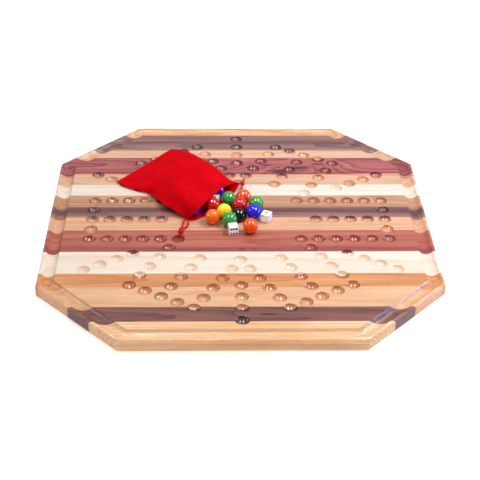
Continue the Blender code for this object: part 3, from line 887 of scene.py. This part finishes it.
def marble_shape():
    """A pressed glass ball: very slightly uneven, as it was rolled."""
    bm = bmesh.new()
    bmesh.ops.create_uvsphere(bm, u_segments=MARBLE_SEGMENTS, v_segments=MARBLE_RINGS, radius=1)
    for vert in bm.verts:
        vert.co *= 1 - MARBLE_UNEVEN * (0.5 + 0.5 * noise.noise(vert.co * MARBLE_LUMPS))
    mesh = bpy.data.meshes.new("marble")
    bm.to_mesh(mesh)
    bm.free()
    mesh.shade_smooth()
    return mesh


def add_marbles(frame):
    shape = marble_shape()
    looks = {colour: glass("glass_" + colour, code) for colour, code in MARBLE_COLOURS.items()}
    redder = glass("glass_orange_red", REDDER_ORANGE)
    names = sorted(name for name in frame["nodes"] if name.startswith("marble_"))
    for i, name in enumerate(names):
        colour = name.split("_")[1]
        low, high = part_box(name)
        mesh = shape.copy()
        ball = add_object(name.replace("marble", "ball"), mesh,
                          redder if name in REDDER_ORANGES else looks[colour])
        turn = Quaternion(Vector((1, 2, 0.5 * i)).normalized(), MARBLE_TURN * i)
        mesh.transform(turn.to_matrix().to_4x4())
        ball.scale = [(high.z - low.z) / 2] * 3
        ball.location = (low + high) / 2
        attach(ball, body_of(name, frame))
        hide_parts(name)


def pip_cutter(faces, looks):
    """One ball for each spot, each with its own number's colour."""
    front = Matrix.Rotation(math.pi / 2, 3, "X")
    others = [Matrix.Rotation(math.radians(turn), 3, "Z") @ front for turn in (90, 180, -90)]
    turns = (Matrix.Identity(3), front, *others, Matrix.Rotation(math.pi, 3, "X"))
    ball = (PIP_RADIUS**2 + PIP_DEPTH**2) / (2 * PIP_DEPTH)
    bm = bmesh.new()
    for turn, count in zip(turns, faces):
        for across, up in PIP_LAYOUTS[count]:
            centre = turn @ Vector((across * PIP_SPACING, up * PIP_SPACING,
                                    DIE_SIDE / 2 + ball - PIP_DEPTH))
            before = set(bm.faces)
            bmesh.ops.create_uvsphere(bm, u_segments=24, v_segments=24, radius=ball,
                                      matrix=Matrix.Translation(centre))
            for face in set(bm.faces) - before:
                face.material_index = count
    return add_mesh("pips", bm, looks[0], *(looks[number] for number in range(1, 7)))


def add_dice(frame):
    # the dice's white glows a little: a painted glow that brightens their shaded faces
    looks = {0: plastic("die_white", "FAF4FC", painted_glow=DIE_PAINTED_GLOW)}
    for number, code in PIP_COLOURS.items():
        looks[number] = plastic(f"pip_paint_{number}", code, coat=0.0)
    for name, turn in DIE_TURNS.items():
        low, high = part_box(name)
        bm = bmesh.new()
        bmesh.ops.create_cube(bm, size=DIE_SIDE)
        die = add_mesh(name + "_cube", bm, *(looks[number] for number in range(7)))
        rounding = die.modifiers.new("rounding", "BEVEL")
        rounding.width = DIE_ROUND
        rounding.segments = DIE_ROUND_STEPS
        cut_away(die, pip_cutter(DIE_FACES[name], looks), "EXACT", materials="TRANSFER")
        shade_flat_faces(die, DIE_SHARP)
        spin = Matrix.Rotation(math.radians(turn), 4, "Z")
        die.matrix_world = Matrix.Translation((low + high) / 2) @ spin
        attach(die, body_of(name, frame))
        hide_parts(name)


# ---- pouch


def rise_at(values, share):
    return curve_point([(value, 0) for value in values], share).x


def plan_point(lip, s, t):
    """A place on a panel: s runs from mouth to bottom, t from the near seam to the far one."""
    lip = [point[:2] for point in lip]
    across = curve_point(lip, t) * (1 - s) + curve_point(BOTTOM_SEAM, t) * s
    along = curve_point(NEAR_SEAM, s) * (1 - t) + curve_point(FAR_SEAM, s) * t
    near = Vector(NEAR_SEAM[0]) * (1 - s) + Vector(NEAR_SEAM[-1]) * s
    far = Vector(FAR_SEAM[0]) * (1 - s) + Vector(FAR_SEAM[-1]) * s
    return across + along - near * (1 - t) - far * t


def seam_rise(s, t):
    return (rise_at(NEAR_SEAM_RISE, s) * (1 - t) + rise_at(FAR_SEAM_RISE, s) * t) * MM


def upper_panel_point(s, t, top):
    place = plan_point(UPPER_LIP, s, t) * MM
    edge = seam_rise(s, t)
    arch = math.sqrt(max(0, 1 - abs(2 * t - 1) ** SIDE_FULLNESS))
    emptying = ease(FILLED_TO + FAR_FULLNESS * t, EMPTY_FROM + FAR_FULLNESS * t, s)
    crown = CROWN + (SEAM_LOW - CROWN) * emptying
    height = edge + (max(crown, edge) - edge) * arch
    lip = curve_point(UPPER_LIP, t).z * MM
    near_lip = 1 - ease(0, LIP_FALL, s)
    height = height * (1 - near_lip) + lip * near_lip
    return Vector((*place, top + height))


def lower_panel_point(s, t, top):
    place = plan_point(LOWER_LIP, s, t) * MM
    edge = max(seam_rise(s, t) - CLOTH, 0)
    turned_up = 1 - ease(0, TURNED_UP, min(t, 1 - t))
    return Vector((*place, top + LOWER_GAP + CLOTH + edge * turned_up))


def grid_normals(grid):
    rows, columns = len(grid), len(grid[0])
    normals = []
    for i in range(rows):
        row = []
        for j in range(columns):
            down = grid[min(i + 1, rows - 1)][j] - grid[max(i - 1, 0)][j]
            across = grid[i][min(j + 1, columns - 1)] - grid[i][max(j - 1, 0)]
            normal = across.cross(down)
            row.append(normal.normalized() if normal.length > 0 else Vector((0, 0, 1)))
        normals.append(row)
    if normals[rows // 2][columns // 2].z < 0:
        normals = [[-normal for normal in row] for row in normals]
    return normals


def add_panel(name, grid, look, hem_side):
    """Cloth under a grid of points, with a doubled hem along the grid's first row."""
    normals = grid_normals(grid)
    rows, columns = len(grid), len(grid[0])
    outer, inner = [], []
    bm = bmesh.new()
    distance = [0.0] * columns
    for i in range(rows):
        outer_row, inner_row = [], []
        for j in range(columns):
            if i:
                distance[j] += (grid[i][j] - grid[i - 1][j]).length
            beyond = distance[j] - HEM_WIDTH
            hem = (HEM_CLOTH - CLOTH) * (1 - ease(-STITCH_WIDTH, 0, beyond))
            groove = STITCH_DEPTH * math.exp(-(beyond / STITCH_WIDTH * 1.6) ** 2)
            point, normal = grid[i][j], normals[i][j]
            outer_row.append(bm.verts.new(point + normal * (hem / 2 - groove) * max(hem_side, 0)))
            inner_row.append(bm.verts.new(point - normal * (CLOTH + hem / 2)))
        outer.append(outer_row)
        inner.append(inner_row)
    skin(bm, outer, closed=False)
    skin(bm, inner, closed=False, turned=True)
    edge = [(i, 0) for i in range(rows)] + [(rows - 1, j) for j in range(1, columns)]
    edge += [(i, columns - 1) for i in range(rows - 2, -1, -1)]
    edge += [(0, j) for j in range(columns - 2, 0, -1)]
    middles = []
    centre = grid[rows // 2][columns // 2]
    for i, j in edge:
        a, b = outer[i][j].co, inner[i][j].co
        inwards_i, inwards_j = min(max(i, 1), rows - 2), min(max(j, 1), columns - 2)
        outwards = grid[i][j] - grid[inwards_i][inwards_j]
        if outwards.length == 0:
            outwards = grid[i][j] - centre
        outwards.normalize()
        middles.append(bm.verts.new((a + b) / 2 + outwards * (a - b).length * 0.45))
    for k in range(len(edge)):
        m = (k + 1) % len(edge)
        (i, j), (p, q) = edge[k], edge[m]
        bm.faces.new((outer[i][j], outer[p][q], middles[m], middles[k]))
        bm.faces.new((middles[k], middles[m], inner[p][q], inner[i][j]))
    return add_mesh(name, bm, look)


def over_contents(place, height, contents, top, clearance):
    """The height raised so that the cloth is clear of the marbles and the die under it."""
    for low, high in contents:
        centre = (low + high) / 2
        reach = (high.z - low.z) / 2 + clearance
        distance = (place - centre.xy).length
        if distance < reach:
            height = max(height, centre.z - top + math.sqrt(reach**2 - distance**2))
    return height


def clear_contents(grid, contents, top, clearance):
    for row in grid[1:-1]:
        for point in row[1:-1]:
            point.z = top + over_contents(point.xy, point.z - top, contents, top, clearance)


def drape(grid, contents, top):
    """Lets the grid's cloth settle on the marbles under it; its four edges stay where they are."""
    rows, columns = len(grid), len(grid[0])
    bm = bmesh.new()
    skin(bm, [[bm.verts.new(point) for point in row] for row in grid], closed=False)
    cloth = add_mesh("draped_cloth", bm)
    pins = cloth.vertex_groups.new(name="pins")
    for i in range(rows):
        for j in range(columns):
            edge = min(i, rows - 1 - i, j, columns - 1 - j)
            pins.add([i * columns + j], 1 if edge == 0 else 0, "REPLACE")
    bm = bmesh.new()
    for low, high in contents:
        matrix = Matrix.Translation((low + high) / 2) @ Matrix.Scale((high.z - low.z) / 2, 4)
        bmesh.ops.create_icosphere(bm, subdivisions=3, radius=1, matrix=matrix)
    obstacle = add_mesh("obstacle", bm)
    obstacle.modifiers.new("collision", "COLLISION")
    obstacle.collision.thickness_outer = COLLISION_GAP
    obstacle.collision.cloth_friction = DRAPE_FRICTION
    simulated = cloth.modifiers.new("drape", "CLOTH")
    for key, value in DRAPE_SETTINGS.items():
        setattr(simulated.settings, key, value)
    simulated.settings.vertex_group_mass = "pins"
    simulated.collision_settings.distance_min = COLLISION_GAP
    simulated.collision_settings.collision_quality = 3
    scene = bpy.context.scene
    for frame_number in range(1, DRAPE_FRAMES + 1):
        scene.frame_set(frame_number)
    apply_modifiers(cloth)
    settled = [vert.co.copy() for vert in cloth.data.vertices]
    scene.frame_set(1)
    bpy.data.objects.remove(cloth)
    bpy.data.objects.remove(obstacle)
    return [settled[i * columns:(i + 1) * columns] for i in range(rows)]


def smooth(grid, passes):
    """Evens out the grid inside its edges, as a stiff pile does."""
    for _ in range(passes):
        old = [[point.copy() for point in row] for row in grid]
        for i in range(1, len(grid) - 1):
            for j in range(1, len(grid[0]) - 1):
                around = (old[i - 1][j] + old[i + 1][j] + old[i][j - 1] + old[i][j + 1]) / 4
                grid[i][j] += (around - old[i][j]) * SMOOTHING_SHARE


def fold(grid):
    """Adds the velvet's soft ridge and hollow."""
    for start, end, height, width in FOLDS:
        start, along = Vector(start), Vector(end) - Vector(start)
        for i, row in enumerate(grid):
            for j, point in enumerate(row):
                s, t = i / (len(grid) - 1), j / (len(row) - 1)
                away = Vector((s, t)) - start
                share = min(max(away.dot(along) / along.length_squared, 0), 1)
                away = (away - along * share).length
                inside = ease(0, FOLD_FADE, min(s, 1 - s, t, 1 - t))
                point.z += height * MM * math.exp(-(away / width) ** 2) * inside


def finer(grid):
    """The grid with smooth points added half way along each row and column."""

    def halved(points):
        result = []
        for k in range(len(points) - 1):
            before, after = points[max(k - 1, 0)], points[min(k + 2, len(points) - 1)]
            result.append(points[k])
            result.append((points[k] + points[k + 1]) * 0.5625 - (before + after) * 0.0625)
        return result + [points[-1]]

    rows = [halved(row) for row in grid]
    columns = [halved(list(column)) for column in zip(*rows)]
    return [list(row) for row in zip(*columns)]


def panel_grid(point_at, top):
    grid = []
    for i in range(PANEL_ROWS + 1):
        s = (i / PANEL_ROWS) ** ROW_CROWDING
        grid.append([point_at(s, j / PANEL_COLUMNS, top) for j in range(PANEL_COLUMNS + 1)])
    return grid


def add_stitches(name, grid, look):
    """A running stitch on the panel, at the hem's width from its mouth edge."""
    line = []
    for j in range(len(grid[0])):
        distance, i = 0.0, 0
        while distance < HEM_WIDTH and i < len(grid) - 1:
            distance += (grid[i + 1][j] - grid[i][j]).length
            i += 1
        line.append(grid[i][j])
    bm = bmesh.new()
    lengths = lengths_along(line)
    place = STITCH_MARGIN
    while place + STITCH_LENGTH < lengths[-1] - STITCH_MARGIN:
        points = []
        for k in range(STITCH_STEPS + 1):
            share = k / STITCH_STEPS
            rise = math.sin(math.pi * share) * STITCH_DIAMETER * 0.6
            point = point_along(line, lengths, place + STITCH_LENGTH * share)
            points.append(point + Vector((0, 0, rise)))
        tube(bm, points, STITCH_DIAMETER / 2, 6)
        place += STITCH_LENGTH + STITCH_GAP
    return add_mesh(name, bm, look)


def add_pouch(frame, top):
    held = frame["record"]["behaviour"]["bodies"]["pouch"]
    contents = [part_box(name) for name in held if name.startswith(("marble_", "die_"))]
    look = velvet("velvet_red", VELVET)
    thread = satin("velvet_thread", "A2000C")
    upper_grid = panel_grid(upper_panel_point, top)
    clear_contents(upper_grid, contents, top, START_CLEARANCE)
    upper_grid = drape(upper_grid, contents, top)
    fold(upper_grid)
    for _ in range(SMOOTHING_ROUNDS):
        smooth(upper_grid, SMOOTHING)
        clear_contents(upper_grid, contents, top, END_CLEARANCE)
    upper_grid = finer(upper_grid)
    lower_grid = finer(panel_grid(lower_panel_point, top))
    upper = add_panel("pouch_upper", upper_grid, look, hem_side=1)
    lower = add_panel("pouch_lower", lower_grid, look, hem_side=0)
    stitches = add_stitches("pouch_hem_stitches", upper_grid, thread)
    for piece in (upper, lower, stitches):
        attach(piece, "pouch")
    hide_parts("pouch_upper_panel")
    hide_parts("pouch_lower_panel")


# ---- stage


def add_camera(top):
    back = Vector((math.sin(CAMERA_YAW) * math.cos(CAMERA_ELEVATION),
                   -math.cos(CAMERA_YAW) * math.cos(CAMERA_ELEVATION), math.sin(CAMERA_ELEVATION)))
    data = bpy.data.cameras.new("camera")
    data.lens = LENS
    data.sensor_width = SENSOR
    camera = add_object("camera", data)
    target = Vector((CAMERA_TARGET[0] * MM, CAMERA_TARGET[1] * MM, top))
    camera.location = target + back * CAMERA_DISTANCE
    camera.rotation_mode = "QUATERNION"
    camera.rotation_quaternion = back.to_track_quat("Z", "Y") @ Quaternion((0, 0, 1), CAMERA_ROLL)
    bpy.context.scene.camera = camera


def add_lights():
    for (degrees, lamp, gloss, colour), shine in itertools.product(STRIPS, (False, True)):
        angle = math.radians(degrees)
        data = bpy.data.lights.new("strip", "AREA")
        data.shape = "RECTANGLE"
        data.size, data.size_y = SHINE_SIZE if shine else STRIP_SIZE
        data.energy = gloss if shine else lamp
        data.color = linear(colour)[:3]
        strip = add_object("strip", data)
        strip.visible_diffuse = not shine
        strip.visible_glossy = shine
        radius = ARCH_RADIUS - SHINE_NEARER * shine
        strip.location = Vector((math.cos(angle), 0, math.sin(angle))) * radius
        strip.rotation_euler = (0, math.pi / 2 - angle, 0)
    g = Graph("tent", world=True)
    towards = g.add("VectorMath", {0: g.place, 1: TENT_BACK}, operation="DOT_PRODUCT")
    low, high = TENT_EDGE
    values = {"Value": towards.outputs["Value"], "From Min": low, "From Max": high,
              "To Min": TENT_DARK, "To Max": TENT_BRIGHT}
    strength = g.add("MapRange", values, interpolation_type="SMOOTHSTEP").outputs[0]
    g.set(Color=(1, 1, 1, 1), Strength=strength)
    bpy.context.scene.world = g.owner


def add_floor():
    bm = bmesh.new()
    bmesh.ops.create_grid(bm, x_segments=1, y_segments=1, size=FLOOR_REACH)
    g = Graph("paper")
    g.set(Base_Color=linear(FLOOR_COLOUR), Roughness=0.9, Specular_IOR_Level=0.1,
          Emission_Color=linear(FLOOR_COLOUR), Emission_Strength=FLOOR_GLOW)
    add_mesh("floor", bm, g.owner)


for existing in list(bpy.data.objects):
    bpy.data.objects.remove(existing, do_unlink=True)
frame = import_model()
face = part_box("stave_08_walnut")[1].z
add_camera(face)
add_cords(face, satin("cord_satin", CORD_COLOUR))
add_staves(frame)
add_marbles(frame)
add_dice(frame)
add_pouch(frame, face)
add_lights()
add_floor()
bpy.context.scene.view_settings.view_transform = "Standard"
